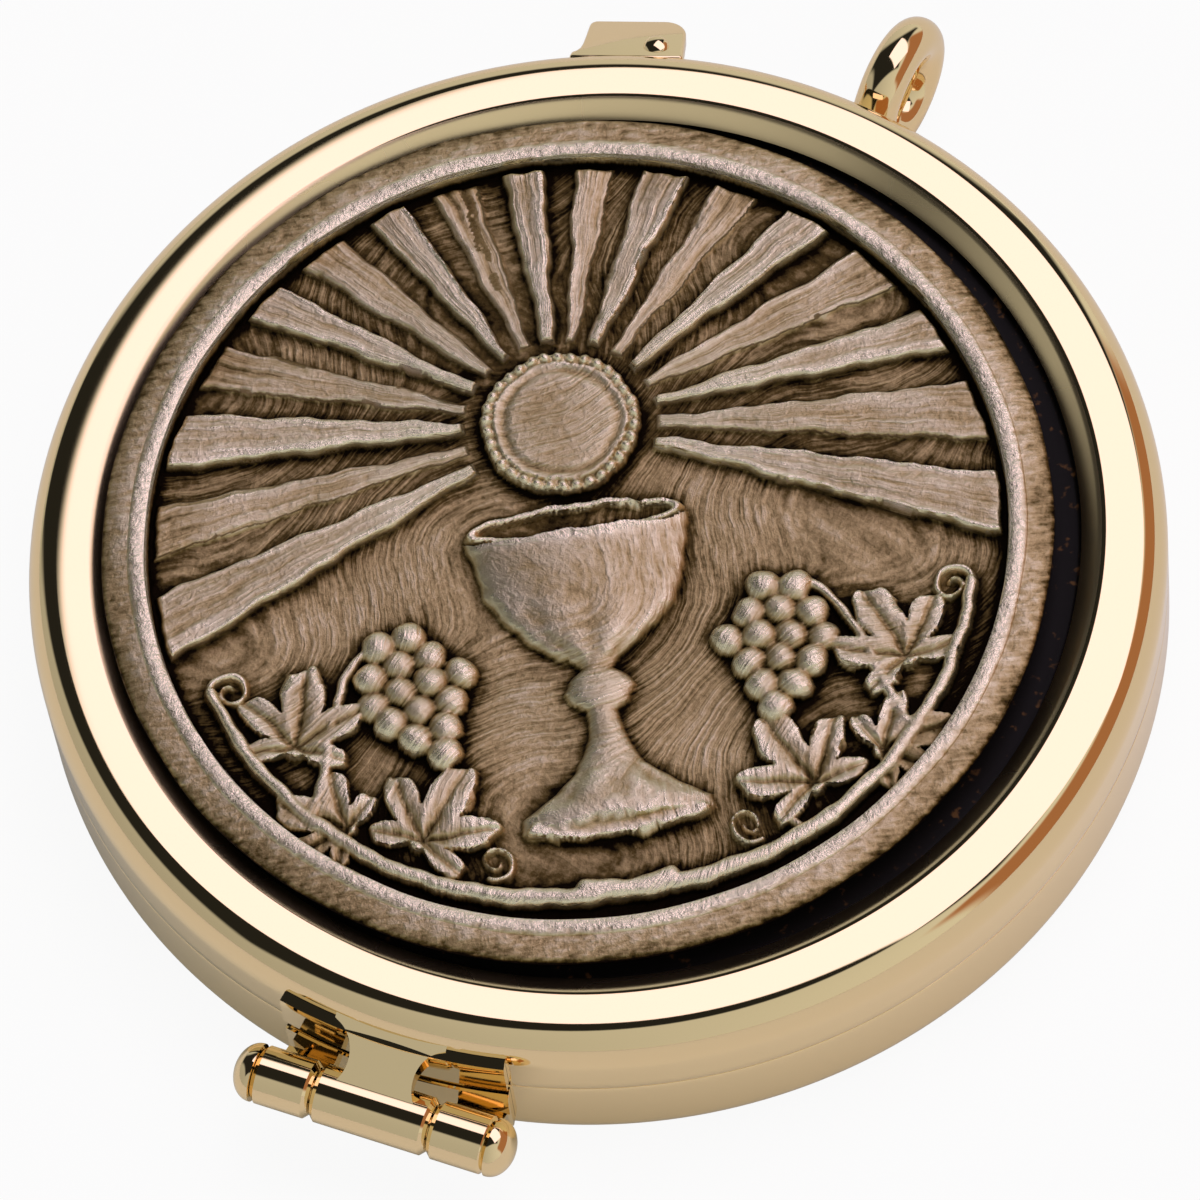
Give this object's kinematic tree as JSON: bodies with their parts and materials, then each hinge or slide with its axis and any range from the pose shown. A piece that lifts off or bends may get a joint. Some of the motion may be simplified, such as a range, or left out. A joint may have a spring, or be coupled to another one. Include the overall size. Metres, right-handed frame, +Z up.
{
  "type": "pyx",
  "caption": "Round hinged pyx: flat gilt brass case with a cast pewter medallion in the lid, a thumb tab and a cord ring.",
  "frame": {"origin": "middle of the flat underside of the base", "axes": "+Z up through the lid; the hinge axis runs along X on the -Y side; the tab and the cord ring are on the +Y side"},
  "size_m": [0.054, 0.0652, 0.0102],
  "materials": {
    "gilt_brass": "gold plated and mirror polished",
    "gilt_brass_inside": "gold plated, bright",
    "gilt_brass_fittings": "gold plated and polished, solder seams slightly amber",
    "pewter": "antiqued pewter casting, high points rubbed bright",
    "adhesive": "cured clear adhesive"
  },
  "bodies": {
    "base": {"base_shell": "gilt_brass", "base_collar": "gilt_brass_inside", "cord_ring": "gilt_brass_fittings", "base_hinge_leaf": "gilt_brass_fittings", "hinge_pin": "gilt_brass_fittings"},
    "lid": {"lid_shell": "gilt_brass", "thumb_tab": "gilt_brass_fittings", "medallion_bond": "adhesive", "medallion": "pewter", "lid_hinge_leaf": "gilt_brass_fittings"}
  },
  "joints": [
    {"name": "lid_hinge", "type": "hinge", "parent": "base", "child": "lid", "pos_m": [0, -0.0296, 0.00543], "axis": [1, 0, 0], "range_deg": [0, 180]}
  ]
}
